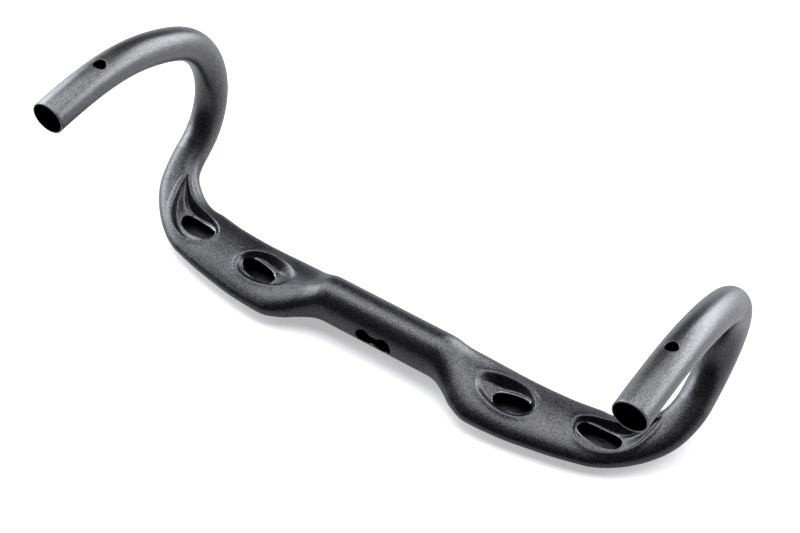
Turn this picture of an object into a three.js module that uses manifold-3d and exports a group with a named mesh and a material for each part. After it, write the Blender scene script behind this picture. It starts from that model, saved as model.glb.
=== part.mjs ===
// Bare drop handlebar with winged tops, lying on its tops with the drops pointing up.
// Millimetres. Origin at the centre of the round stem clamp, +X along the clamp towards
// the right drop, +Y towards the front of the hooks, +Z up.
//
// Every skin is one sweep: a superellipse section carried along the bar's centreline.
// A distance s runs along the bar from the clamp centre, negative on the left side.

import * as THREE from "three";
import { mergeVertices } from "three/addons/utils/BufferGeometryUtils.js";
import Module from "manifold-3d";

const wasm = await Module();
wasm.setup();

// ---- driving dimensions -------------------------------------------------------------

const CLAMP_DIAMETER = 31.8;
const CLAMP_RADIUS = CLAMP_DIAMETER / 2;
const CLAMP_HALF_LENGTH = 42;
const TUBE_DIAMETER = 23.8;
const TUBE_RADIUS = TUBE_DIAMETER / 2;
const WALL = 2.0;
const TOPS_END = 160;
const DROP_LENGTH = 327;
const BAR_END = TOPS_END + DROP_LENGTH;
const JOINT = 230;
const JOINT_GAP = 0.3;
const FLARE = THREE.MathUtils.degToRad(3.9);

// Wing sections of the tops: front edge, rear edge and top line at each distance.
const TOPS = {
  at: [0, 30, CLAMP_HALF_LENGTH, 48, 54, 60, 68, 82, 105, 135, TOPS_END],
  front: [15.9, 15.9, 15.9, 16.3, 16.6, 17.3, 18.4, 19.3, 19.8, 21.6, 25.6],
  rear: [-15.9, -15.9, -15.9, -16.8, -19.2, -22.6, -27.8, -32.3, -30.8, -25.4, -18.6],
  top: [15.9, 15.9, 15.9, 14.8, 11.8, 8.8, 6.3, 3.6, 1.5, 0.3, -0.6],
};
const TOPS_FLOOR = -CLAMP_RADIUS;

// The bend in plan, and the ramp and hook in elevation, as headings of the centreline
// in degrees at distances beyond the tops.
const BEND = { at: [0, 20, 40, 60, 80, 110], heading: [14, 34, 51, 77, 91, 90] };
const HOOK = {
  at: [0, 33, 66, 99, 132, 165, 198, 231, 264, 297, DROP_LENGTH],
  climb: [-1, 10, 20, 53, 88, 120, 147, 157, 168, 176, 180],
};
// The wing section narrows to the round tube through the bend.
const TAPER = {
  at: [0, 20, 40, 60, 80],
  across: [22.1, 18.0, 15.0, 12.3, TUBE_RADIUS],
  upright: [7.65, 8.7, 9.2, 10.6, TUBE_RADIUS],
};
const ROUND_POWER = 2;
const WING_POWER = 2.2;

// Scooped cable ports: a blunt end, a tip where the groove runs out, and an oval hole.
const INNER_PORT = {
  blunt: 119, tip: 71, halfWidth: 14.2, taper: 0.16, depth: 5.6, offset: 0, drift: 3.5,
  hole: { at: 102.6, offset: 0.8, halfLength: 13.4, halfWidth: 7.0 },
};
const OUTER_PORT = {
  blunt: 144, tip: 212, halfWidth: 10.4, taper: 0.98, depth: 5.2, offset: 0, drift: 1.5,
  hole: { at: 162.4, offset: 0.2, halfLength: 14.6, halfWidth: 6.7 },
};
const SCOOP_EDGE = 0.42;
const SCOOP_RISE = 0.75;

// Dog-bone slot in the clamp, facing the stem.
const SLOT = { lobeRadius: 6.3, lobeSpacing: 15.6, waistHalf: 4.2 };
const END_HOLE = { fromEnd: 49.8, radius: 4.4, inboard: 2 };

// Bonded inner pieces.
const BOND_GAP = 0.5;
const CLAMP_SLEEVE = { halfLength: 40, wall: 1.8 };
const JOINT_SLEEVE = { halfLength: 14, wall: 1.6 };

// Facets.
const OUTER_SIDES = 24;
const INNER_SIDES = 18;
const TUBE_SIDES = 16;
const WING_STEP = 6;
const BORE_STEP = 10;
const TUBE_STEP = 9;
const SLEEVE_STEP = 5;
const OVERCUT = 1;
const PORT_SIDES = 8;
const SLOT_SIDES = 5;

// ---- centreline and sections --------------------------------------------------------

/** Smooth curve through values at knots that never overshoots them. */
function through(knots, values) {
  const last = knots.length - 1;
  const rise = knots.slice(1).map((k, i) => (values[i + 1] - values[i]) / (k - knots[i]));
  const slope = knots.map((_, i) => {
    if (i === 0 || i === last) return rise[i === 0 ? 0 : last - 1];
    const product = rise[i - 1] * rise[i];
    return product > 0 ? (2 * product) / (rise[i - 1] + rise[i]) : 0;
  });
  return (where) => {
    const x = Math.min(Math.max(where, knots[0]), knots[last]);
    let i = 0;
    while (i < last - 1 && x > knots[i + 1]) i += 1;
    const h = knots[i + 1] - knots[i];
    const t = (x - knots[i]) / h;
    const u = 1 - t;
    return (
      values[i] * (1 + 2 * t) * u * u + slope[i] * h * t * u * u +
      values[i + 1] * (3 - 2 * t) * t * t - slope[i + 1] * h * u * t * t
    );
  };
}

const frontEdge = through(TOPS.at, TOPS.front);
const rearEdge = through(TOPS.at, TOPS.rear);
const topLine = through(TOPS.at, TOPS.top);
const heading = through(BEND.at, BEND.heading);
const climb = through(HOOK.at, HOOK.climb);
const acrossHalf = through(TAPER.at, TAPER.across);
const uprightHalf = through(TAPER.at, TAPER.upright);

/** Direction of the centreline at a distance beyond the tops, before flare. */
function direction(beyond) {
  const turn = THREE.MathUtils.degToRad(heading(beyond));
  const rise = THREE.MathUtils.degToRad(climb(beyond));
  const level = Math.cos(rise);
  return new THREE.Vector3(level * Math.cos(turn), level * Math.sin(turn), Math.sin(rise));
}

function topsCentre(s) {
  const y = (frontEdge(s) + rearEdge(s)) / 2;
  return new THREE.Vector3(s, y, (topLine(s) + TOPS_FLOOR) / 2);
}

/** Centres of the drop at every millimetre, summed from its directions, then flared. */
function dropCentres() {
  const start = topsCentre(TOPS_END);
  const centres = [start.clone()];
  const walker = start.clone();
  for (let mm = 0; mm < DROP_LENGTH; mm += 1) {
    walker.add(direction(mm + 0.5));
    const flared = walker.clone();
    flared.x += Math.tan(FLARE) * (walker.z - start.z);
    centres.push(flared);
  }
  return centres;
}

const DROP_CENTRES = dropCentres();

function dropFrame(beyond) {
  const i = Math.min(Math.floor(beyond), DROP_CENTRES.length - 2);
  const centre = DROP_CENTRES[i].clone().lerp(DROP_CENTRES[i + 1], beyond - i);
  const along = direction(beyond);
  along.x += Math.tan(FLARE) * along.z;
  along.normalize();
  const turn = THREE.MathUtils.degToRad(heading(beyond));
  const across = new THREE.Vector3(-Math.sin(turn), Math.cos(turn), 0);
  across.addScaledVector(along, -across.dot(along)).normalize();
  const up = new THREE.Vector3().crossVectors(along, across);
  return { centre, across, up, a: acrossHalf(beyond), b: uprightHalf(beyond) };
}

function topsFrame(s) {
  const swing = THREE.MathUtils.smoothstep(s, TOPS_END - 40, TOPS_END);
  const turn = THREE.MathUtils.degToRad(BEND.heading[0]) * swing;
  return {
    centre: topsCentre(s),
    across: new THREE.Vector3(-Math.sin(turn), Math.cos(turn), 0),
    up: new THREE.Vector3(0, 0, 1),
    a: (frontEdge(s) - rearEdge(s)) / 2,
    b: (topLine(s) - TOPS_FLOOR) / 2,
  };
}

/** Section frame at a signed distance: the left side mirrors the right. */
function frameAt(s) {
  const distance = Math.abs(s);
  const frame = distance <= TOPS_END ? topsFrame(distance) : dropFrame(distance - TOPS_END);
  if (s < 0) {
    for (const vector of [frame.centre, frame.across, frame.up]) vector.x = -vector.x;
  }
  return frame;
}

/** Roundness of the section: a circle at clamp and tube, squarer on the wing. */
function sectionPower(distance) {
  const rise = THREE.MathUtils.smoothstep(distance, CLAMP_HALF_LENGTH, 82);
  const fall = THREE.MathUtils.smoothstep(distance, TOPS_END + 20, TOPS_END + 80);
  return ROUND_POWER + (WING_POWER - ROUND_POWER) * rise * (1 - fall);
}

/** Depth of one scoop below the plain wing surface at distance s, offset c. */
function scoopDepth(port, distance, c) {
  const middle = (port.blunt + port.tip) / 2;
  const q = (distance - middle) / ((port.tip - port.blunt) / 2);
  if (Math.abs(q) >= 1) return 0;
  const half = port.halfWidth * (1 - port.taper * q);
  const axis = port.offset + (port.drift * (q + 1)) / 2;
  const r = Math.hypot(q, (c - axis) / half);
  const wall = THREE.MathUtils.smoothstep(1 - r, 0, SCOOP_EDGE);
  return port.depth * wall * (1 - (SCOOP_RISE * (q + 1)) / 2);
}

/** A point on the skin, inset from the outer surface, at section angle in radians. */
function skinPoint(s, angle, inset) {
  const frame = frameAt(s);
  const distance = Math.abs(s);
  const power = 2 / sectionPower(distance);
  const cos = Math.cos(angle);
  const sin = Math.sin(angle);
  const c = (frame.a - inset) * Math.sign(cos) * Math.abs(cos) ** power;
  let h = (frame.b - inset) * Math.sign(sin) * Math.abs(sin) ** power;
  if (sin > 0) {
    h -= scoopDepth(INNER_PORT, distance, c) + scoopDepth(OUTER_PORT, distance, c);
  }
  return frame.centre.addScaledVector(frame.across, c).addScaledVector(frame.up, h);
}

// ---- solids -------------------------------------------------------------------------

/** Distances from first to last at about the step asked for, through the fixed ones. */
function distances(first, last, step, fixed = []) {
  const stops = [first, ...fixed.filter((s) => s > first && s < last), last];
  const list = [first];
  for (let i = 1; i < stops.length; i += 1) {
    const span = stops[i] - stops[i - 1];
    const count = Math.max(1, Math.round(span / step));
    for (let k = 1; k <= count; k += 1) list.push(stops[i - 1] + (span * k) / count);
  }
  return list;
}

/** Closed sweep of the section through the given distances. */
function sweep(stations, sides, inset) {
  const points = [];
  const faces = [];
  for (const s of stations) {
    for (let k = 0; k < sides; k += 1) {
      points.push(...skinPoint(s, (k / sides) * 2 * Math.PI, inset).toArray());
    }
  }
  const rings = stations.length;
  for (let i = 0; i + 1 < rings; i += 1) {
    for (let k = 0; k < sides; k += 1) {
      const here = i * sides + k;
      const beside = i * sides + ((k + 1) % sides);
      faces.push(here, beside, here + sides, beside, beside + sides, here + sides);
    }
  }
  for (const end of [0, rings - 1]) {
    const hub = points.length / 3;
    points.push(...frameAt(stations[end]).centre.toArray());
    for (let k = 0; k < sides; k += 1) {
      const here = end * sides + k;
      const beside = end * sides + ((k + 1) % sides);
      faces.push(...(end === 0 ? [hub, beside, here] : [hub, here, beside]));
    }
  }
  const geometry = new THREE.BufferGeometry();
  geometry.setAttribute("position", new THREE.Float32BufferAttribute(points, 3));
  geometry.setIndex(faces);
  return geometry;
}

function solid(geometry) {
  const bare = geometry.clone();
  for (const name of ["normal", "uv"]) bare.deleteAttribute(name);
  const merged = mergeVertices(bare, 1e-4);
  const mesh = new wasm.Mesh({
    numProp: 3,
    vertProperties: merged.attributes.position.array,
    triVerts: new Uint32Array(merged.index.array),
  });
  return new wasm.Manifold(mesh);
}

function geometryOf(manifold) {
  const mesh = manifold.getMesh();
  const geometry = new THREE.BufferGeometry();
  const positions = new THREE.BufferAttribute(mesh.vertProperties, 3);
  geometry.setAttribute("position", positions);
  geometry.setIndex(new THREE.BufferAttribute(mesh.triVerts, 1));
  return geometry;
}

/** Cutter through the floor of a port, standing square to the wing. */
function portCutter(port, side) {
  const { at, offset, halfLength, halfWidth } = port.hole;
  const frame = frameAt(side * at);
  const outline = new THREE.Shape();
  outline.absellipse(0, 0, halfLength, halfWidth, 0, 2 * Math.PI);
  const prism = new THREE.ExtrudeGeometry(outline, {
    depth: CLAMP_RADIUS,
    bevelEnabled: false,
    curveSegments: PORT_SIDES,
  });
  const along = new THREE.Vector3().crossVectors(frame.across, frame.up);
  const underFloor = frame.b - port.depth - WALL - 2 * OVERCUT;
  const base = frame.centre
    .addScaledVector(frame.across, offset)
    .addScaledVector(frame.up, underFloor);
  const turn = new THREE.Matrix4().makeBasis(along, frame.across, frame.up);
  return solid(prism.applyMatrix4(turn.setPosition(base)));
}

/** Dog-bone prism that opens the clamp towards the stem. */
function slotCutter() {
  const { lobeRadius, lobeSpacing, waistHalf } = SLOT;
  const meet = Math.asin(waistHalf / lobeRadius);
  const outline = new THREE.Shape();
  outline.absarc(lobeSpacing / 2, 0, lobeRadius, meet - Math.PI, Math.PI - meet, false);
  outline.absarc(-lobeSpacing / 2, 0, lobeRadius, meet, 2 * Math.PI - meet, false);
  const prism = new THREE.ExtrudeGeometry(outline, {
    depth: CLAMP_RADIUS,
    bevelEnabled: false,
    curveSegments: SLOT_SIDES,
  });
  prism.rotateX(Math.PI / 2);
  prism.translate(0, -CLAMP_RADIUS / 3, 0);
  return solid(prism);
}

/** Round hole through the upper wall of the drop near its open end. */
function endHoleCutter(side) {
  const frame = frameAt(side * (BAR_END - END_HOLE.fromEnd));
  const pin = new THREE.CylinderGeometry(END_HOLE.radius, END_HOLE.radius, TUBE_RADIUS, 16);
  pin.rotateX(Math.PI / 2);
  const x = frame.centre.x - side * END_HOLE.inboard;
  pin.translate(x, frame.centre.y, frame.centre.z + TUBE_RADIUS);
  return solid(pin);
}

// ---- pieces -------------------------------------------------------------------------

/** Hollow wing with the clamp in its middle, four ports and the slot. */
function centreWing() {
  const edge = JOINT - JOINT_GAP / 2;
  const half = [CLAMP_HALF_LENGTH, 50, 58, 68, 82, TOPS_END];
  const fixed = [...half.map((s) => -s).reverse(), 0, ...half];
  const outer = distances(-edge, edge, WING_STEP, fixed);
  const inner = distances(-edge - OVERCUT, edge + OVERCUT, BORE_STEP, fixed);
  let body = solid(sweep(outer, OUTER_SIDES, 0));
  body = body.subtract(solid(sweep(inner, INNER_SIDES, WALL)));
  for (const side of [-1, 1]) {
    body = body.subtract(portCutter(INNER_PORT, side)).subtract(portCutter(OUTER_PORT, side));
  }
  return geometryOf(body.subtract(slotCutter()));
}

/** Hollow hook from the joint in the ramp to the open bar end. */
function drop(side) {
  const near = JOINT + JOINT_GAP / 2;
  const order = (list) => (side > 0 ? list : list.map((s) => -s).reverse());
  const outer = order(distances(near, BAR_END, TUBE_STEP));
  const bore = order(distances(near - OVERCUT, BAR_END + OVERCUT, TUBE_STEP));
  const tube = solid(sweep(outer, TUBE_SIDES, 0)).subtract(solid(sweep(bore, TUBE_SIDES, WALL)));
  return geometryOf(tube.subtract(endHoleCutter(side)));
}

/** Hollow sleeve on the bar's own section, from one distance to another. */
function sleeve(from, to, sides, step, wall) {
  const inset = WALL + BOND_GAP;
  const body = solid(sweep(distances(from, to, step), sides, inset));
  const bore = distances(from - OVERCUT, to + OVERCUT, step);
  return body.subtract(solid(sweep(bore, sides, inset + wall)));
}

/** Ferrule bonded inside both tubes across the joint. */
function jointSleeve(side) {
  const { halfLength, wall } = JOINT_SLEEVE;
  const middle = side * JOINT;
  const ends = [middle - halfLength, middle + halfLength];
  return geometryOf(sleeve(...ends, TUBE_SIDES, SLEEVE_STEP, wall));
}

/** Reinforcing tube bonded under the stem clamp, slotted like the wing around it. */
function clampSleeve() {
  const { halfLength, wall } = CLAMP_SLEEVE;
  const tube = sleeve(-halfLength, halfLength, OUTER_SIDES, halfLength, wall);
  return geometryOf(tube.subtract(slotCutter()));
}

// ---- assembly -----------------------------------------------------------------------

const satinBlack = { color: 0x2b2b2e, roughness: 0.5, metalness: 0.1 };
const rawCarbon = { color: 0x1a1a1c, roughness: 0.35, metalness: 0.0 };

const group = new THREE.Group();

function place(name, geometry, finish) {
  const mesh = new THREE.Mesh(geometry, new THREE.MeshStandardMaterial(finish));
  mesh.name = name;
  group.add(mesh);
}

place("centre_wing", centreWing(), satinBlack);
place("clamp_sleeve", clampSleeve(), rawCarbon);
for (const [hand, side] of [["left", -1], ["right", 1]]) {
  place(`${hand}_drop`, drop(side), satinBlack);
  place(`${hand}_joint_sleeve`, jointSleeve(side), rawCarbon);
}

export default group;
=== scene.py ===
"""Looks for a bare drop handlebar with winged tops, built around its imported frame.

The bar lies on its tops with the drops pointing up. Sizes are in millimetres in the shape
classes and become metres when a mesh is laid out.
"""

import logging
import math
from dataclasses import dataclass, field
from enum import Enum
from typing import Callable

import bmesh
import bpy
from mathutils import Matrix, Vector


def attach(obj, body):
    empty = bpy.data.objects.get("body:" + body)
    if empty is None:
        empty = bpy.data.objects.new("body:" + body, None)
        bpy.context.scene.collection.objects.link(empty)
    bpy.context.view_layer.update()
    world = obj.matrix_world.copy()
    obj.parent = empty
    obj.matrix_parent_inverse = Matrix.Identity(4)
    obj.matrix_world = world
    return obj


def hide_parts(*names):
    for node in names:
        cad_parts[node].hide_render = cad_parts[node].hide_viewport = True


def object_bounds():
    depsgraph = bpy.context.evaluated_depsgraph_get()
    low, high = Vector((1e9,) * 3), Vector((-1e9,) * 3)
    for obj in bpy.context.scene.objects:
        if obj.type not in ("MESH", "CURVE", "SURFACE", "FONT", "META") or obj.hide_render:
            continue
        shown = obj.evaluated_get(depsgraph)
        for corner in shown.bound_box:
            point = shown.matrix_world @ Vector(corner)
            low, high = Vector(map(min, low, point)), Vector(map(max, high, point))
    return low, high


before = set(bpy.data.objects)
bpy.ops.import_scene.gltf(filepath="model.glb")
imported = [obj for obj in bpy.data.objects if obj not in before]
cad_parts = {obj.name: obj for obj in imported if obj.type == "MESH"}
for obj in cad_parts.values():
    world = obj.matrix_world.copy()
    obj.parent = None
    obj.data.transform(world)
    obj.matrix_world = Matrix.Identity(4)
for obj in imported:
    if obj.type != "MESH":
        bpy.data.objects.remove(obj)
CAD_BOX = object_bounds()

MM = 0.001
LAY = "bar_lay"
CUT_EDGE = 2
BODY = "root"
FULL_TURN = 2.0 * math.pi
LOG = logging.getLogger("handlebar")


# ---- small tools ---------------------------------------------------------------------


def smooth(x: float, low: float, high: float) -> float:
    """Eased step from 0 at low to 1 at high.

    Args:
        x: Where to look.
        low: Where the step starts.
        high: Where the step is complete.

    Returns:
        A value from 0 to 1.
    """
    t = min(max((x - low) / (high - low), 0.0), 1.0)
    return t * t * (3.0 - 2.0 * t)


def fuller(share: float, power: float) -> float:
    """Raises a share from -1 to 1 to a power and keeps its sign."""
    return math.copysign(abs(share) ** power, share)


@dataclass(frozen=True)
class Profile:
    """A smooth curve through values at knots, which never overshoots them."""

    knots: tuple[float, ...]
    values: tuple[float, ...]

    def slopes(self) -> list[float]:
        """Returns the slope of the curve at each knot."""
        pairs = list(zip(self.knots, self.values))
        rises = [(q[1] - p[1]) / (q[0] - p[0]) for p, q in zip(pairs, pairs[1:])]
        inner = []
        for before, after in zip(rises, rises[1:]):
            both = before * after
            inner.append(2.0 * both / (before + after) if both > 0.0 else 0.0)
        return [rises[0], *inner, rises[-1]]

    def at(self, where: float) -> float:
        """Reads the curve.

        Args:
            where: Position along the knots, held to their range.

        Returns:
            The value there.
        """
        x = min(max(where, self.knots[0]), self.knots[-1])
        i = 0
        while i < len(self.knots) - 2 and x > self.knots[i + 1]:
            i += 1
        slopes = _SLOPES.setdefault(self, self.slopes())
        span = self.knots[i + 1] - self.knots[i]
        t = (x - self.knots[i]) / span
        u = 1.0 - t
        left = self.values[i] * (1.0 + 2.0 * t) * u * u + slopes[i] * span * t * u * u
        right = self.values[i + 1] * (3.0 - 2.0 * t) * t * t - slopes[i + 1] * span * u * t * t
        return left + right


_SLOPES: dict[Profile, list[float]] = {}


# ---- the bar's shape -----------------------------------------------------------------


@dataclass(frozen=True)
class Section:
    """One cross-section of the bar: where it is, how it lies and how large it is."""

    centre: Vector
    across: Vector
    up: Vector
    half_chord: float
    half_height: float


@dataclass(frozen=True)
class Hole:
    """A rounded slot through the skin, turned a little off the bar's own line."""

    distance: float
    offset: float
    half_length: float
    half_width: float
    tilt: float
    fullness: float = 0.87

    def outline(self, turn: float) -> tuple[float, float]:
        """Returns the distance and sideways offset of the hole's edge at a turn round it."""
        along = self.half_length * fuller(math.cos(turn), self.fullness)
        aside = self.half_width * fuller(math.sin(turn), self.fullness)
        cos = math.cos(self.tilt)
        sin = math.sin(self.tilt)
        return self.distance + along * cos - aside * sin, self.offset + along * sin + aside * cos


@dataclass(frozen=True)
class Port:
    """A scooped cable port: steep round the blunt end, its floor ramps up to the tip.

    Distances run along the bar. Places across the scoop are shares of its half width, and
    places along it are shares of its half length.
    """

    blunt: float
    tip: float
    half_width: float
    taper: float
    axis: Profile
    floor: Profile
    hole: Hole
    wall_run: float = 7.2
    steepening: float = 0.5
    steep_zone: tuple[float, float] = (-0.3, 0.8)
    undercut: float = 0.25
    lip_round: float = 0.28
    lip_height: float = 0.6
    lip_width: float = 2.2
    lip_reach: float = 1.3
    ridge: float = 0.0
    ridge_place: tuple[float, float] = (0.1, 0.3)
    groove: float = 0.0
    groove_place: tuple[float, float] = (0.55, 0.25)
    tail_zone: tuple[float, float] = (-2.0, 14.0)

    def depth_at(self, distance: float, offset: float) -> float:
        """Depth of the scoop below the plain surface.

        Args:
            distance: Distance along the bar from the clamp centre.
            offset: Sideways distance from the section's middle.

        Returns:
            The depth in millimetres, 0 outside the scoop.
        """
        half_length = abs(self.tip - self.blunt) / 2.0
        q = (distance - (self.blunt + self.tip) / 2.0) / math.copysign(
            half_length, self.tip - self.blunt
        )
        if abs(q) >= self.lip_reach:
            return 0.0
        half = self.half_width * (1.0 - self.taper * q)
        u = (offset - self.axis.at(distance)) / half
        r = math.hypot(q, u)
        if r >= self.lip_reach:
            return 0.0
        pull = math.hypot(q / half_length, u / half)
        inside = (1.0 - r) * r / pull if pull > 0.001 else self.wall_run
        floor = self.floor.at(distance)
        if self.ridge > 0.0:
            floor *= self.channels(distance, u / math.sqrt(max(1.0 - q * q, 0.01)))
        lip = self.lip_height * math.exp(-((inside / self.lip_width) ** 2)) * min(1.0, floor / 2.0)
        run = self.wall_run * (1.0 - self.steepening * smooth(-q, *self.steep_zone))
        return floor * self.wall(inside / run) - lip

    def wall(self, share: float) -> float:
        """Returns the part of the full depth reached at a share of the wall's run.

        Args:
            share: Share of the run from the rim to the floor, held from 0 to 1.

        Returns:
            The part of the depth, a little over 1 just before the floor is reached.
        """
        x = min(max(share, 0.0), 1.0)
        eased = x * x / (x + self.lip_round) * (1.0 + self.lip_round)
        return (1.0 + self.undercut) * eased - self.undercut * eased**5

    def channels(self, distance: float, share: float) -> float:
        """Floor factor of a wide and a narrow channel with a soft ridge between them.

        Args:
            distance: Distance along the bar.
            share: Place across the scoop, -1 at its rear rim and 1 at its front rim.

        Returns:
            A factor round 1 by which the floor is deeper or shallower.
        """
        past_hole = distance - self.hole.distance - self.hole.half_length
        tail = smooth(past_hole, *self.tail_zone)
        ridge_at, ridge_width = self.ridge_place
        groove_at, groove_width = self.groove_place
        crest = self.ridge * math.exp(-(((share - ridge_at) / ridge_width) ** 2))
        channel = self.groove * math.exp(-(((share - groove_at) / groove_width) ** 2))
        return 1.0 + tail * (channel - crest)


@dataclass
class BarShape:
    """The bar as a swept section, in millimetres; the left side mirrors the right.

    front, rear and top give the section's edges along the tops. heading, climb and the two
    half sizes run along the drop, from the end of the tops.
    """

    clamp_radius: float = 15.9
    clamp_half: float = 42.0
    tube_radius: float = 11.9
    wall: float = 1.3
    drop_wall: float = 0.9
    tops_end: float = 160.0
    drop_length: float = 327.0
    joint: float = 230.0
    joint_zone: float = 4.0
    flare: float = math.radians(3.9)
    wing_power: float = 2.2
    wing_full: float = 82.0
    wing_fade: tuple[float, float] = (20.0, 80.0)
    swing_length: float = 40.0
    front: Profile = Profile(
        (0, 30, 42, 48, 54, 60, 68, 82, 105, 135, 160),
        (15.9, 15.9, 15.9, 16.3, 16.6, 17.3, 18.4, 19.3, 19.8, 21.6, 25.6),
    )
    rear: Profile = Profile(
        (0, 30, 42, 48, 54, 60, 68, 82, 105, 135, 160),
        (-15.9, -15.9, -15.9, -16.8, -19.2, -22.6, -27.8, -32.3, -30.8, -25.4, -18.6),
    )
    top: Profile = Profile(
        (0, 30, 42, 48, 54, 60, 68, 82, 105, 135, 160),
        (15.9, 15.9, 15.9, 14.8, 11.8, 8.8, 6.3, 3.6, 1.5, 0.3, -0.6),
    )
    heading: Profile = Profile((0, 20, 40, 60, 80, 110), (14, 34, 51, 77, 91, 90))
    climb: Profile = Profile(
        (0, 33, 66, 99, 132, 165, 198, 231, 264, 297, 327),
        (-1, 10, 20, 53, 88, 120, 147, 157, 168, 176, 180),
    )
    half_chord: Profile = Profile((0, 20, 40, 60, 80), (22.1, 18.0, 15.0, 12.3, 11.9))
    half_height: Profile = Profile((0, 20, 40, 60, 80), (7.65, 8.7, 9.2, 10.6, 11.9))
    inner_port: Port = Port(
        blunt=119.0,
        tip=71.5,
        half_width=13.8,
        taper=0.14,
        axis=Profile((71.5, 78, 85, 95, 104, 111, 119), (3.5, 2.2, 2.3, 1.9, 1.3, 0.4, -1.0)),
        floor=Profile(
            (71.5, 77, 84, 89.5, 96, 103, 110, 119),
            (0.0, 1.8, 5.2, 7.0, 6.3, 4.9, 3.8, 2.8),
        ),
        hole=Hole(102.2, 0.8, 13.3, 6.5, math.radians(2.0)),
    )
    outer_port: Port = Port(
        blunt=144.0,
        tip=212.0,
        half_width=10.8,
        taper=0.75,
        axis=Profile(
            (144, 150, 157, 165, 173, 180, 188, 194, 200, 206, 212),
            (2.0, 0.2, -0.6, -1.0, -1.3, -1.0, 0.3, 2.0, 3.5, 5.3, 6.5),
        ),
        floor=Profile(
            (144, 150, 160, 170, 177, 184, 192, 200, 212),
            (2.6, 3.2, 4.8, 6.6, 7.4, 6.2, 4.4, 2.8, 0.0),
        ),
        hole=Hole(162.6, 0.4, 15.0, 6.3, math.radians(-8.7)),
        wall_run=5.4,
        ridge=0.2,
        groove=0.25,
    )
    slot_lobe_radius: float = 6.3
    slot_lobe_spacing: float = 15.6
    slot_waist: float = 4.2
    end_hole_from_end: float = 49.8
    end_hole_radius: float = 4.4
    end_hole_inboard: float = 2.0
    centres: list[Vector] = field(default_factory=list)

    def __post_init__(self) -> None:
        """Walks the drop's centreline once, a millimetre at a time."""
        start = self.tops_centre(self.tops_end)
        walker = start.copy()
        self.centres = [start.copy()]
        for step in range(int(self.drop_length)):
            walker += self.direction(step + 0.5)
            flared = walker.copy()
            flared.x += math.tan(self.flare) * (walker.z - start.z)
            self.centres.append(flared)

    @property
    def bar_end(self) -> float:
        """Distance of the open end from the clamp centre."""
        return self.tops_end + self.drop_length

    def tops_centre(self, s: float) -> Vector:
        """Returns the section centre on the tops at distance s."""
        y = (self.front.at(s) + self.rear.at(s)) / 2.0
        return Vector((s, y, (self.top.at(s) - self.clamp_radius) / 2.0))

    def direction(self, beyond: float) -> Vector:
        """Returns the unflared direction of the centreline beyond the tops."""
        turn = math.radians(self.heading.at(beyond))
        rise = math.radians(self.climb.at(beyond))
        level = math.cos(rise)
        return Vector((level * math.cos(turn), level * math.sin(turn), math.sin(rise)))

    def drop_section(self, beyond: float) -> Section:
        """Returns the section at a distance beyond the tops."""
        i = min(int(beyond), len(self.centres) - 2)
        centre = self.centres[i].lerp(self.centres[i + 1], beyond - i)
        along = self.direction(beyond)
        along.x += math.tan(self.flare) * along.z
        along.normalize()
        turn = math.radians(self.heading.at(beyond))
        across = Vector((-math.sin(turn), math.cos(turn), 0.0))
        across = (across - along * across.dot(along)).normalized()
        up = along.cross(across)
        chord = self.half_chord.at(beyond)
        return Section(centre, across, up, chord, self.half_height.at(beyond))

    def tops_section(self, s: float) -> Section:
        """Returns the section at distance s on the tops."""
        swing = smooth(s, self.tops_end - self.swing_length, self.tops_end)
        turn = math.radians(self.heading.values[0]) * swing
        across = Vector((-math.sin(turn), math.cos(turn), 0.0))
        chord = (self.front.at(s) - self.rear.at(s)) / 2.0
        height = (self.top.at(s) + self.clamp_radius) / 2.0
        return Section(self.tops_centre(s), across, Vector((0.0, 0.0, 1.0)), chord, height)

    def section(self, s: float) -> Section:
        """Returns the section at a signed distance: negative is the left side."""
        distance = abs(s)
        if distance <= self.tops_end:
            found = self.tops_section(distance)
        else:
            found = self.drop_section(distance - self.tops_end)
        if s >= 0.0:
            return found
        flip = Vector((-1.0, 1.0, 1.0))
        return Section(
            found.centre * flip,
            found.across * flip,
            found.up * flip,
            found.half_chord,
            found.half_height,
        )

    def power(self, distance: float) -> float:
        """Returns the superellipse power of the section: 2 is a circle."""
        rise = smooth(distance, self.clamp_half, self.wing_full)
        fall = smooth(distance - self.tops_end, *self.wing_fade)
        return 2.0 + (self.wing_power - 2.0) * rise * (1.0 - fall)

    def skin_point(self, s: float, angle: float) -> Vector:
        """A point on the bar's skin.

        Args:
            s: Signed distance along the bar.
            angle: Angle round the section, 0 across and a quarter turn up.

        Returns:
            The point in millimetres.
        """
        found = self.section(s)
        distance = abs(s)
        power = 2.0 / self.power(distance)
        cos = math.cos(angle)
        sin = math.sin(angle)
        c = found.half_chord * fuller(cos, power)
        h = found.half_height * fuller(sin, power)
        if sin > 0.0:
            h -= self.inner_port.depth_at(distance, c)
            h -= self.outer_port.depth_at(distance, c)
        return found.centre + found.across * c + found.up * h

    def angle_of(self, s: float, offset: float, upper: bool = True) -> float:
        """Returns the angle on the upper or lower skin whose sideways offset is given."""
        found = self.section(s)
        share = max(-1.0, min(1.0, offset / found.half_chord))
        angle = math.acos(fuller(share, self.power(abs(s)) / 2.0))
        return angle if upper else 2.0 * math.pi - angle


# ---- finishes ------------------------------------------------------------------------


def linear(colour: str) -> tuple[float, float, float, float]:
    """Turns an sRGB hex colour to linear.

    Args:
        colour: Six hex digits after a hash.

    Returns:
        Linear red, green, blue and an alpha of 1.
    """
    parts = [int(colour[i : i + 2], 16) / 255.0 for i in (1, 3, 5)]
    curve = [p / 12.92 if p <= 0.04045 else ((p + 0.055) / 1.055) ** 2.4 for p in parts]
    return (*curve, 1.0)


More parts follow.
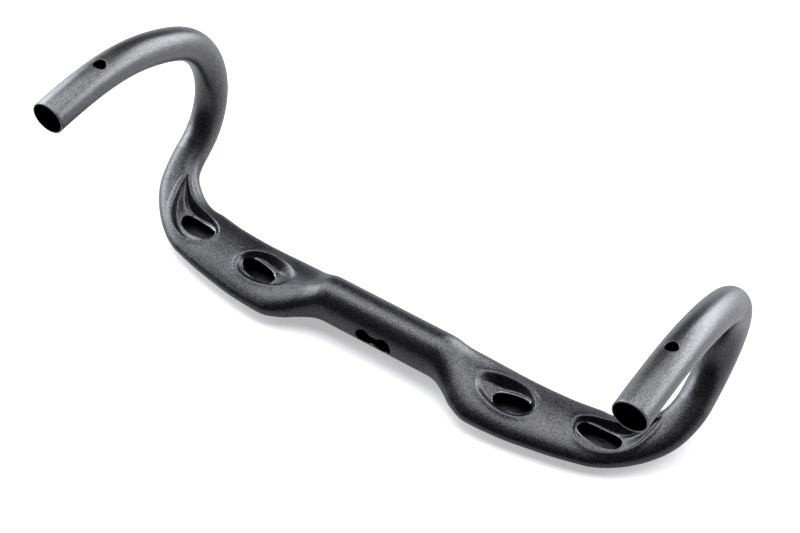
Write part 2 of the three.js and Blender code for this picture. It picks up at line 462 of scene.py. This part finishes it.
def node(
    tree: bpy.types.NodeTree,
    kind: str,
    settings: dict[str, object] | None = None,
    inputs: dict[str | int, object] | None = None,
) -> bpy.types.Node:
    """Adds one shader node.

    Args:
        tree: The tree to add to.
        kind: The node's Blender type.
        settings: Properties of the node.
        inputs: Socket values, or output sockets to link from.

    Returns:
        The node.
    """
    made = tree.nodes.new(kind)
    for name, value in (settings or {}).items():
        setattr(made, name, value)
    for name, value in (inputs or {}).items():
        socket = made.inputs[name]
        if isinstance(value, bpy.types.NodeSocket):
            tree.links.new(value, socket)
        else:
            socket.default_value = value
    return made


def blank_material(
    name: str,
) -> tuple[bpy.types.Material, bpy.types.NodeTree, bpy.types.NodeSocket]:
    """Starts a material with an empty node tree.

    Args:
        name: The material's name.

    Returns:
        The material, its tree and the place on the object that its patterns read.
    """
    made = bpy.data.materials.new(name)
    made.use_nodes = True
    tree = made.node_tree
    tree.nodes.clear()
    return made, tree, node(tree, "ShaderNodeTexCoord").outputs["Object"]


class Lay(Enum):
    """Which way the grain of a lacquer coat runs."""

    OPEN = "open"
    LENGTHWISE = "lengthwise"


@dataclass(frozen=True)
class SatinLacquer:
    """Satin black lacquer, sprayed and rubbed down over carbon composite.

    It gives a near-black ground with a broad, slightly sparkling sheen, and on the drops the
    rubbing has left fine streaks along the tube.
    """

    name: str = "satin_black_lacquer"
    lay: Lay = Lay.OPEN
    ground: str = "#030304"
    flake: str = "#1a1a1e"
    roughness: float = 0.28
    spread: float = 0.12
    gleam: tuple[float, float] = (0.13, 0.47)
    edge_gleam: float = 0.1
    edge_zone: tuple[float, float] = (0.4, 0.85)
    flake_mm: float = 0.8
    flake_zone: tuple[float, float] = (0.48, 0.78)
    cloud_mm: float = 28.0
    cloud_share: float = 0.35
    streak_mm: float = 0.45
    streak_stretch: float = 9.0
    streak_share: float = 0.4
    sheen_zone: tuple[float, float] = (0.35, 1.0)
    gleam_zone: tuple[float, float] = (0.32, 0.68)
    pebble: float = 0.8
    pebble_mm: float = 0.18
    ior: float = 1.52

    def material(self) -> bpy.types.Material:
        """Returns the finished material."""
        made, tree, place = blank_material(self.name)
        # Flake in real satin lacquer is under 0.1 mm; it is drawn coarser so that it shows.
        flakes = node(
            tree,
            "ShaderNodeTexNoise",
            inputs={"Vector": place, "Scale": 1.0 / (self.flake_mm * MM), "Detail": 3.0},
        ).outputs["Fac"]
        # Slow change of sheen over a few centimetres, as hand rubbing leaves it.
        cloud = node(
            tree,
            "ShaderNodeTexNoise",
            inputs={"Vector": place, "Scale": 1.0 / (self.cloud_mm * MM), "Detail": 2.0},
        ).outputs["Fac"]
        grain = flakes
        if self.lay is Lay.LENGTHWISE:
            grain = node(
                tree,
                "ShaderNodeMix",
                {"data_type": "FLOAT"},
                {0: self.streak_share, 2: flakes, 3: self.streaks(tree)},
            ).outputs[0]
        tone = node(
            tree,
            "ShaderNodeMapRange",
            inputs={
                "Value": flakes,
                "From Min": self.flake_zone[0],
                "From Max": self.flake_zone[1],
            },
        ).outputs["Result"]
        colour = node(
            tree,
            "ShaderNodeMix",
            {"data_type": "RGBA"},
            {0: tone, 6: linear(self.ground), 7: linear(self.flake)},
        ).outputs[2]
        mixed = node(
            tree,
            "ShaderNodeMath",
            {"operation": "MULTIPLY_ADD"},
            {0: cloud, 1: self.cloud_share, 2: grain},
        ).outputs["Value"]
        sheen = node(
            tree,
            "ShaderNodeMapRange",
            inputs={
                "Value": mixed,
                "From Min": self.sheen_zone[0],
                "From Max": self.sheen_zone[1],
                "To Min": self.roughness - self.spread / 2.0,
                "To Max": self.roughness + self.spread,
            },
        ).outputs["Result"]
        gleam = node(
            tree,
            "ShaderNodeMapRange",
            inputs={
                "Value": grain,
                "From Min": self.gleam_zone[0],
                "From Max": self.gleam_zone[1],
                "To Min": self.gleam[0],
                "To Max": self.gleam[1],
            },
        ).outputs["Result"]
        # A rubbed coat goes matt where it is seen edge-on.
        facing = node(tree, "ShaderNodeLayerWeight", inputs={"Blend": 0.5}).outputs["Facing"]
        matt = node(
            tree,
            "ShaderNodeMapRange",
            inputs={
                "Value": facing,
                "From Min": self.edge_zone[0],
                "From Max": self.edge_zone[1],
                "To Min": 1.0,
                "To Max": self.edge_gleam,
            },
        ).outputs["Result"]
        gleam = node(
            tree, "ShaderNodeMath", {"operation": "MULTIPLY"}, {0: gleam, 1: matt}
        ).outputs["Value"]
        bump = node(
            tree,
            "ShaderNodeBump",
            inputs={"Height": grain, "Strength": self.pebble, "Distance": self.pebble_mm * MM},
        ).outputs["Normal"]
        shader = node(
            tree,
            "ShaderNodeBsdfPrincipled",
            inputs={
                "Base Color": colour,
                "Roughness": sheen,
                "Normal": bump,
                "IOR": self.ior,
                "Specular IOR Level": gleam,
            },
        )
        node(tree, "ShaderNodeOutputMaterial", inputs={"Surface": shader.outputs["BSDF"]})
        return made

    def streaks(self, tree: bpy.types.NodeTree) -> bpy.types.NodeSocket:
        """Returns noise drawn out along the bar, from the lay attribute.

        Args:
            tree: The material's tree.

        Returns:
            A value that changes quickly round the tube and slowly along it.
        """
        lay = node(tree, "ShaderNodeAttribute", {"attribute_name": LAY}).outputs["Vector"]
        fine = 1.0 / (self.streak_mm * MM)
        drawn = node(
            tree,
            "ShaderNodeMapping",
            inputs={"Vector": lay, "Scale": (fine / self.streak_stretch, fine, fine)},
        ).outputs["Vector"]
        return node(
            tree,
            "ShaderNodeTexNoise",
            inputs={"Vector": drawn, "Scale": 1.0, "Detail": 4.0, "Roughness": 0.6},
        ).outputs["Fac"]


@dataclass(frozen=True)
class BareLaminate:
    """Bare carbon laminate as it leaves the bladder: black, dull and finely wrinkled."""

    name: str = "bare_laminate"
    resin: str = "#020203"
    dry: str = "#060607"
    roughness: float = 0.34
    gleam: float = 0.12
    wrinkle_mm: float = 5.0
    wrinkle_depth_mm: float = 0.6

    def material(self) -> bpy.types.Material:
        """Returns the finished material."""
        made, tree, place = blank_material(self.name)
        wrinkle = node(
            tree,
            "ShaderNodeTexNoise",
            inputs={
                "Vector": place,
                "Scale": 1.0 / (self.wrinkle_mm * MM),
                "Detail": 3.0,
                "Distortion": 0.6,
            },
        ).outputs["Fac"]
        colour = node(
            tree,
            "ShaderNodeMix",
            {"data_type": "RGBA"},
            {0: wrinkle, 6: linear(self.resin), 7: linear(self.dry)},
        ).outputs[2]
        bump = node(
            tree,
            "ShaderNodeBump",
            inputs={"Height": wrinkle, "Strength": 0.7, "Distance": self.wrinkle_depth_mm * MM},
        ).outputs["Normal"]
        shader = node(
            tree,
            "ShaderNodeBsdfPrincipled",
            inputs={
                "Base Color": colour,
                "Roughness": self.roughness,
                "Normal": bump,
                "Specular IOR Level": self.gleam,
            },
        )
        node(tree, "ShaderNodeOutputMaterial", inputs={"Surface": shader.outputs["BSDF"]})
        return made


@dataclass(frozen=True)
class TrimmedEdge:
    """A trimmed edge of the laminate: layered fibre under clear resin, so it catches light."""

    name: str
    fibre: str
    resin: str
    roughness: float
    ply_mm: float = 0.25
    ply_step_mm: float = 0.04

    def material(self) -> bpy.types.Material:
        """Returns the finished material."""
        made, tree, place = blank_material(self.name)
        plies = node(
            tree,
            "ShaderNodeTexNoise",
            inputs={"Vector": place, "Scale": 1.0 / (self.ply_mm * MM), "Detail": 2.0},
        ).outputs["Fac"]
        colour = node(
            tree,
            "ShaderNodeMix",
            {"data_type": "RGBA"},
            {0: plies, 6: linear(self.resin), 7: linear(self.fibre)},
        ).outputs[2]
        bump = node(
            tree,
            "ShaderNodeBump",
            inputs={"Height": plies, "Strength": 0.3, "Distance": self.ply_step_mm * MM},
        ).outputs["Normal"]
        shader = node(
            tree,
            "ShaderNodeBsdfPrincipled",
            inputs={"Base Color": colour, "Roughness": self.roughness, "Normal": bump},
        )
        node(tree, "ShaderNodeOutputMaterial", inputs={"Surface": shader.outputs["BSDF"]})
        return made


# ---- skins ---------------------------------------------------------------------------


@dataclass
class Opening:
    """An oval or lobed hole in a skin, as an outline in distance and angle.

    rings is how many rows of faces lead from the skin's grid to the hole's edge. The last
    few of them, rolled, dip inwards by roll millimetres.
    """

    middle: float
    half_length: float
    angle: float
    half_angle: float
    outline: Callable[[float], tuple[float, float]]
    rings: int = 4
    rolled: int = 0
    roll: float = 0.0


@dataclass
class Skin:
    """A swept skin laid out flat in distance and angle, opened, then wrapped."""

    shape: BarShape
    stops: list[tuple[float, float]]
    seam: float
    rows: Profile
    row_count: int
    openings: list[Opening] = field(default_factory=list)
    centre_samples: int = 400

    def columns(self) -> list[float]:
        """Returns the distances of the grid lines, from stops of (distance, step)."""
        lines = [self.stops[0][0]]
        for (low, step), (high, _) in zip(self.stops, self.stops[1:]):
            count = max(1, round((high - low) / step))
            lines.extend(low + (high - low) * k / count for k in range(1, count + 1))
        return lines

    def flat_sheet(self) -> bmesh.types.BMesh:
        """Returns the grid in distance and angle."""
        lines = self.columns()
        sheet = bmesh.new()
        bmesh.ops.create_grid(
            sheet, x_segments=len(lines) - 1, y_segments=self.row_count, size=0.5
        )
        for v in sheet.verts:
            v.co.x = lines[round((v.co.x + 0.5) * (len(lines) - 1))]
            v.co.y = self.seam + self.rows.at(v.co.y + 0.5)
        return sheet

    def cut(self, sheet: bmesh.types.BMesh, hole: Opening) -> None:
        """Replaces a block of the flat sheet with rings round a hole.

        Args:
            sheet: The flat sheet.
            hole: The opening to make.
        """
        inside = []
        for face in sheet.faces:
            spot = face.calc_center_median()
            near = abs(spot.x - hole.middle) < hole.half_length
            if near and abs(spot.y - hole.angle) < hole.half_angle:
                inside.append(face)
        block = set(inside)
        border = list({e for f in inside for e in f.edges if not block.issuperset(e.link_faces)})
        bmesh.ops.delete(sheet, geom=inside, context="FACES")
        starts = {v.co.copy().freeze(): v.co.copy() for e in border for v in e.verts}
        for ring in range(1, hole.rings + 1):
            grown = bmesh.ops.extrude_edge_only(sheet, edges=border)["geom"]
            border = [e for e in grown if isinstance(e, bmesh.types.BMEdge)]
            over = max(0, ring - hole.rings + hole.rolled) / max(hole.rolled, 1)
            if over > 0.0:
                for face in (g for g in grown if isinstance(g, bmesh.types.BMFace)):
                    face.material_index = CUT_EDGE
            moved = {}
            for v in {v for e in border for v in e.verts}:
                start = starts[v.co.copy().freeze()]
                turn = math.atan2(
                    (start.y - hole.angle) / hole.half_angle,
                    (start.x - hole.middle) / hole.half_length,
                )
                rim = Vector((*hole.outline(turn), 0.0))
                v.co = start.lerp(rim, ring / hole.rings)
                v.co.z = -hole.roll * over * over
                moved[v.co.copy().freeze()] = start
            starts = moved

    def mesh(self) -> bmesh.types.BMesh:
        """Returns the wrapped skin in metres, facing outwards."""
        sheet = self.flat_sheet()
        for hole in self.openings:
            self.cut(sheet, hole)
        lay = sheet.verts.layers.float_vector.new(LAY)
        for v in sheet.verts:
            s, angle, dip = v.co
            girth = self.shape.tube_radius
            v[lay] = Vector((s, girth * math.cos(angle), girth * math.sin(angle))) * MM
            v.co = (self.shape.skin_point(s, angle) + self.shape.section(s).up * dip) * MM
        bmesh.ops.remove_doubles(sheet, verts=sheet.verts, dist=1e-6)
        bmesh.ops.recalc_face_normals(sheet, faces=sheet.faces)
        self.face_outwards(sheet)
        self.mark_rims(sheet, lay)
        return sheet

    def mark_rims(self, sheet: bmesh.types.BMesh, lay: bmesh.types.BMLayerItem) -> None:
        """Marks open edges: rounded at holes and ends, left sharp where mouldings meet."""
        weight = sheet.edges.layers.float.new("bevel_weight_edge")
        for edge in sheet.edges:
            if not edge.is_boundary:
                continue
            at_joint = all(abs(abs(v[lay].x) - self.shape.joint * MM) < 1e-6 for v in edge.verts)
            edge.smooth = not at_joint
            edge[weight] = 0.0 if at_joint else 1.0

    def face_outwards(self, sheet: bmesh.types.BMesh) -> None:
        """Turns the whole skin over if its faces look towards the centreline."""
        sheet.faces.ensure_lookup_table()
        first = sheet.faces[0]
        spot = first.calc_center_median() / MM
        start = self.stops[0][0]
        step = (self.stops[-1][0] - start) / self.centre_samples
        lines = (start + k * step for k in range(self.centre_samples + 1))
        centres = (self.shape.section(s).centre for s in lines)
        middle = min(centres, key=lambda centre: (centre - spot).length)
        if first.normal.dot(spot - middle) < 0.0:
            bmesh.ops.reverse_faces(sheet, faces=sheet.faces)


def mirrored(stops: list[tuple[float, float]]) -> list[tuple[float, float]]:
    """Returns the same stops on the left side, where each step belongs to the other end."""
    ends = [-s for s, _ in reversed(stops)]
    steps = [step for _, step in reversed(stops[:-1])]
    return list(zip(ends, [*steps, steps[-1]]))


def finished_object(name: str, mesh: bmesh.types.BMesh, materials: list) -> bpy.types.Object:
    """Makes an object of a mesh, smooth, with its materials.

    Args:
        name: The piece's name.
        mesh: Its geometry, freed here.
        materials: The materials, in slot order.

    Returns:
        The object, linked to the scene.
    """
    data = bpy.data.meshes.new(name)
    for face in mesh.faces:
        face.smooth = True
    mesh.to_mesh(data)
    mesh.free()
    for material in materials:
        data.materials.append(material)
    made = bpy.data.objects.new(name, data)
    bpy.context.scene.collection.objects.link(made)
    return made


def thicken(piece: bpy.types.Object, wall: float, lip: float) -> None:
    """Gives a skin its wall inwards and rounds the edges that this makes.

    Args:
        piece: The skin's object; slot 1 is its inside and slot 2 its cut edges.
        wall: Wall thickness in millimetres.
        lip: Radius of the rounded edges in millimetres.
    """
    solid = piece.modifiers.new("wall", "SOLIDIFY")
    solid.thickness = wall * MM
    solid.offset = -1.0
    solid.use_quality_normals = True
    solid.material_offset = 1
    solid.material_offset_rim = 2
    edge = piece.modifiers.new("lip", "BEVEL")
    edge.width = lip * MM
    edge.segments = 3
    edge.profile = 0.5
    edge.limit_method = "WEIGHT"
    edge.material = -1
    edge.use_clamp_overlap = True


def settle(piece: bpy.types.Object, cad_node: str) -> None:
    """Rides a piece on the bar, hides its CAD node and logs it."""
    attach(piece, BODY)
    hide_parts(cad_node)
    LOG.info("%s: %d faces", piece.name, len(piece.data.polygons))


# ---- pieces --------------------------------------------------------------------------


@dataclass
class CentreWing:
    """The moulded tops: round clamp, wings, scooped ports and the stem slot.

    fine, medium, coarse, bend and end are the lengths of the skin's faces along the bar. A
    zone is how far such a length is kept past the feature that needs it.
    """

    shape: BarShape
    materials: list
    fine: float = 0.9
    medium: float = 1.5
    coarse: float = 3.0
    bend: float = 2.0
    end: float = 0.5
    slot_zone: float = 16.0
    tip_zone: float = 1.5
    port_zone: float = 2.0
    rows_round: int = 112
    port_margin: tuple[float, float] = (1.5, 3.2)
    slot_margin: float = 2.0
    lip: float = 0.35

    def port_opening(self, port: Port, side: int) -> Opening:
        """Returns the oval hole of a port on one side."""
        shape = self.shape
        hole = port.hole
        middle = side * hole.distance

        def outline(turn: float) -> tuple[float, float]:
            """Returns distance and angle of the hole's edge at a turn round it."""
            s, offset = hole.outline(math.atan2(-math.sin(turn), side * math.cos(turn)))
            return side * s, shape.angle_of(s, offset)

        ahead, aside = self.port_margin
        reach = (hole.half_width + aside) / shape.section(middle).half_chord
        angle = shape.angle_of(middle, hole.offset)
        return Opening(
            middle, hole.half_length + ahead, angle, reach, outline, rings=9, rolled=2, roll=0.5
        )

    def slot_opening(self) -> Opening:
        """Returns the dog-bone slot that faces the stem."""
        shape = self.shape
        half = shape.slot_lobe_spacing / 2.0
        tip = half + shape.slot_lobe_radius

        def outline(turn: float) -> tuple[float, float]:
            """Returns distance and angle of the slot's edge at a turn round it."""
            x = tip * math.cos(turn)
            reach = min(1.0, abs(abs(x) - half) / shape.slot_lobe_radius)
            lobe = shape.slot_lobe_radius * math.sqrt(1.0 - reach * reach)
            height = max(lobe, shape.slot_waist) if abs(x) < half else lobe
            z = math.copysign(height, math.sin(turn))
            return x, math.pi + math.asin(z / shape.clamp_radius)

        margin = self.slot_margin
        reach = (shape.slot_lobe_radius + margin) / shape.clamp_radius
        return Opening(0.0, tip + margin, math.pi, reach, outline, rings=3)

    def build(self) -> bpy.types.Object:
        """Returns the finished wing."""
        shape = self.shape
        inner = shape.inner_port
        outer = shape.outer_port
        half = [
            (0.0, self.medium),
            (self.slot_zone, self.coarse),
            (shape.clamp_half, self.medium),
            (inner.tip - self.tip_zone, self.fine),
            (inner.blunt + self.port_zone, self.bend),
            (outer.blunt - self.port_zone, self.fine),
            (outer.tip + self.port_zone, self.bend),
            (shape.joint - shape.joint_zone, self.end),
            (shape.joint, self.end),
        ]
        stops = mirrored(half)[:-1] + half
        quarter = 0.25 * FULL_TURN
        # The plain underside takes few rows, so that the scooped upper side has the most.
        rows = Profile((0.0, 0.13, 0.87, 1.0), (0.0, quarter, 3.0 * quarter, FULL_TURN))
        openings = [self.port_opening(port, side) for side in (-1, 1) for port in (inner, outer)]
        openings.append(self.slot_opening())
        skin = Skin(shape, stops, -quarter, rows, self.rows_round, openings)
        piece = finished_object("centre_wing_moulding", skin.mesh(), self.materials)
        thicken(piece, shape.wall, self.lip)
        settle(piece, "centre_wing")
        return piece


@dataclass
class Drop:
    """One hook: hollow tube from the joint to the open bar end.

    end, fine and coarse are the lengths of the skin's faces along the tube.
    """

    shape: BarShape
    side: int
    materials: list
    end: float = 0.5
    fine: float = 1.0
    coarse: float = 2.0
    rows_round: int = 72
    hole_margin: float = 1.5
    hole_zone: float = 8.0
    lip: float = 0.3

    def hole_opening(self) -> Opening:
        """Returns the round hole near the bar end."""
        shape = self.shape
        middle = self.side * (shape.bar_end - shape.end_hole_from_end)
        radius = shape.end_hole_radius
        inboard = shape.end_hole_inboard

        def outline(turn: float) -> tuple[float, float]:
            """Returns distance and angle of the hole's edge at a turn round it."""
            s = middle + radius * math.cos(turn)
            return s, shape.angle_of(s, inboard + radius * math.sin(turn), upper=False)

        reach = (radius + self.hole_margin) / shape.tube_radius
        angle = shape.angle_of(middle, inboard, upper=False)
        return Opening(middle, radius + self.hole_margin, angle, reach, outline, rings=3)

    def build(self) -> bpy.types.Object:
        """Returns the finished hook."""
        shape = self.shape
        hole = shape.bar_end - shape.end_hole_from_end
        near = [
            (shape.joint, self.end),
            (shape.joint + shape.joint_zone, self.coarse),
            (hole - self.hole_zone, self.fine),
            (hole + self.hole_zone, self.coarse),
            (shape.bar_end, self.coarse),
        ]
        stops = near if self.side > 0 else mirrored(near)
        rows = Profile((0.0, 1.0), (0.0, FULL_TURN))
        skin = Skin(shape, stops, 0.0, rows, self.rows_round, [self.hole_opening()])
        hand = "left" if self.side < 0 else "right"
        piece = finished_object(f"{hand}_drop_moulding", skin.mesh(), self.materials)
        thicken(piece, shape.drop_wall, self.lip)
        settle(piece, f"{hand}_drop")
        return piece


# ---- studio --------------------------------------------------------------------------


@dataclass(frozen=True)
class Softbox:
    """One soft light: where it hangs round the bar, its size in metres and its face."""

    azimuth: float
    elevation: float
    distance: float
    width: float
    height: float
    brightness: float
    tint: str = "#ffffff"


@dataclass
class Studio:
    """Pale floor, soft lights and the camera, in metres."""

    azimuth: float = math.radians(33.6)
    elevation: float = math.radians(49.5)
    distance: float = 1.352
    aim_right: float = 0.0095
    aim_up: float = 0.0404
    lens: float = 90.9
    floor_half: float = 9.0
    floor_gap: float = 0.0002
    floor_colour: str = "#98989a"
    floor_roughness: float = 0.45
    floor_glow: float = 0.44
    room: float = 0.05
    room_tint: str = "#f4f5f8"
    boxes: tuple[Softbox, ...] = (
        Softbox(150.0, 14.0, 2.4, 3.1, 1.7, 12.4, "#f8f9ff"),
        Softbox(-96.0, 22.0, 2.4, 2.3, 1.6, 14.5, "#f3f6ff"),
        Softbox(-168.0, 72.0, 2.4, 4.2, 1.7, 9.6, "#f7f8ff"),
    )

    def camera(self) -> bpy.types.Object:
        """Returns the camera, made the scene's own."""
        data = bpy.data.cameras.new("camera")
        data.lens = self.lens
        level = math.cos(self.elevation)
        back = Vector(
            (
                math.sin(self.azimuth) * level,
                -math.cos(self.azimuth) * level,
                math.sin(self.elevation),
            )
        )
        right = Vector((math.cos(self.azimuth), math.sin(self.azimuth), 0.0))
        up = back.cross(right)
        made = bpy.data.objects.new("camera", data)
        bpy.context.scene.collection.objects.link(made)
        spot = back * self.distance + right * self.aim_right + up * self.aim_up
        turn = Matrix((right, up, back)).transposed().to_4x4()
        made.matrix_world = Matrix.Translation(spot) @ turn
        bpy.context.scene.camera = made
        return made

    def floor(self) -> None:
        """Lays the pale floor under the bar; it glows a little, as a lit table does."""
        data = bpy.data.meshes.new("floor")
        sheet = bmesh.new()
        bmesh.ops.create_grid(sheet, x_segments=1, y_segments=1, size=self.floor_half)
        level = CAD_BOX[0][2] - self.floor_gap
        bmesh.ops.translate(sheet, verts=sheet.verts, vec=(0.0, 0.0, level))
        sheet.to_mesh(data)
        sheet.free()
        made = bpy.data.objects.new("floor", data)
        bpy.context.scene.collection.objects.link(made)
        material = bpy.data.materials.new("pale_floor")
        material.use_nodes = True
        shader = material.node_tree.nodes["Principled BSDF"]
        shader.inputs["Base Color"].default_value = linear(self.floor_colour)
        shader.inputs["Roughness"].default_value = self.floor_roughness
        shader.inputs["Emission Color"].default_value = linear("#ffffff")
        shader.inputs["Emission Strength"].default_value = self.floor_glow
        data.materials.append(material)

    def hang(self, box: Softbox) -> None:
        """Hangs one soft light that looks at the bar.

        Args:
            box: Where it hangs, its size and how bright its face is.
        """
        data = bpy.data.lights.new("softbox", "AREA")
        data.shape = "RECTANGLE"
        data.size = box.width
        data.size_y = box.height
        data.color = linear(box.tint)[:3]
        data.energy = box.brightness * math.pi * box.width * box.height
        made = bpy.data.objects.new("softbox", data)
        bpy.context.scene.collection.objects.link(made)
        a = math.radians(box.azimuth)
        e = math.radians(box.elevation)
        out = Vector((math.sin(a) * math.cos(e), -math.cos(a) * math.cos(e), math.sin(e)))
        made.location = out * box.distance
        made.rotation_euler = out.to_track_quat("Z", "Y").to_euler()
        made.visible_camera = False

    def light(self) -> None:
        """Sets the dim room and hangs the soft lights."""
        world = bpy.data.worlds.new("room")
        bpy.context.scene.world = world
        world.use_nodes = True
        shade = world.node_tree.nodes["Background"]
        shade.inputs["Color"].default_value = linear(self.room_tint)
        shade.inputs["Strength"].default_value = self.room
        for box in self.boxes:
            self.hang(box)
        bpy.context.scene.view_settings.view_transform = "Standard"


def main() -> None:
    """Builds the bar and the studio."""
    logging.basicConfig(level=logging.INFO, format="%(name)s: %(message)s")
    shape = BarShape()
    laminate = BareLaminate().material()
    wing_coat = SatinLacquer().material()
    drop_coat = SatinLacquer(
        "satin_black_lacquer_drops",
        Lay.LENGTHWISE,
        roughness=0.29,
        gleam=(0.14, 0.8),
    ).material()
    port_edge = TrimmedEdge("trimmed_port_edge", "#141416", "#060607", 0.09).material()
    end_edge = TrimmedEdge("trimmed_bar_end", "#4a4a4d", "#1c1c1e", 0.25).material()
    CentreWing(shape, [wing_coat, laminate, port_edge]).build()
    for side in (-1, 1):
        Drop(shape, side, [drop_coat, laminate, end_edge]).build()
    for name in ("clamp_sleeve", "left_joint_sleeve", "right_joint_sleeve"):
        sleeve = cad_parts[name]
        sleeve.data.materials.clear()
        sleeve.data.materials.append(laminate)
    studio = Studio()
    studio.camera()
    studio.floor()
    studio.light()


if __name__ == "__main__":
    main()
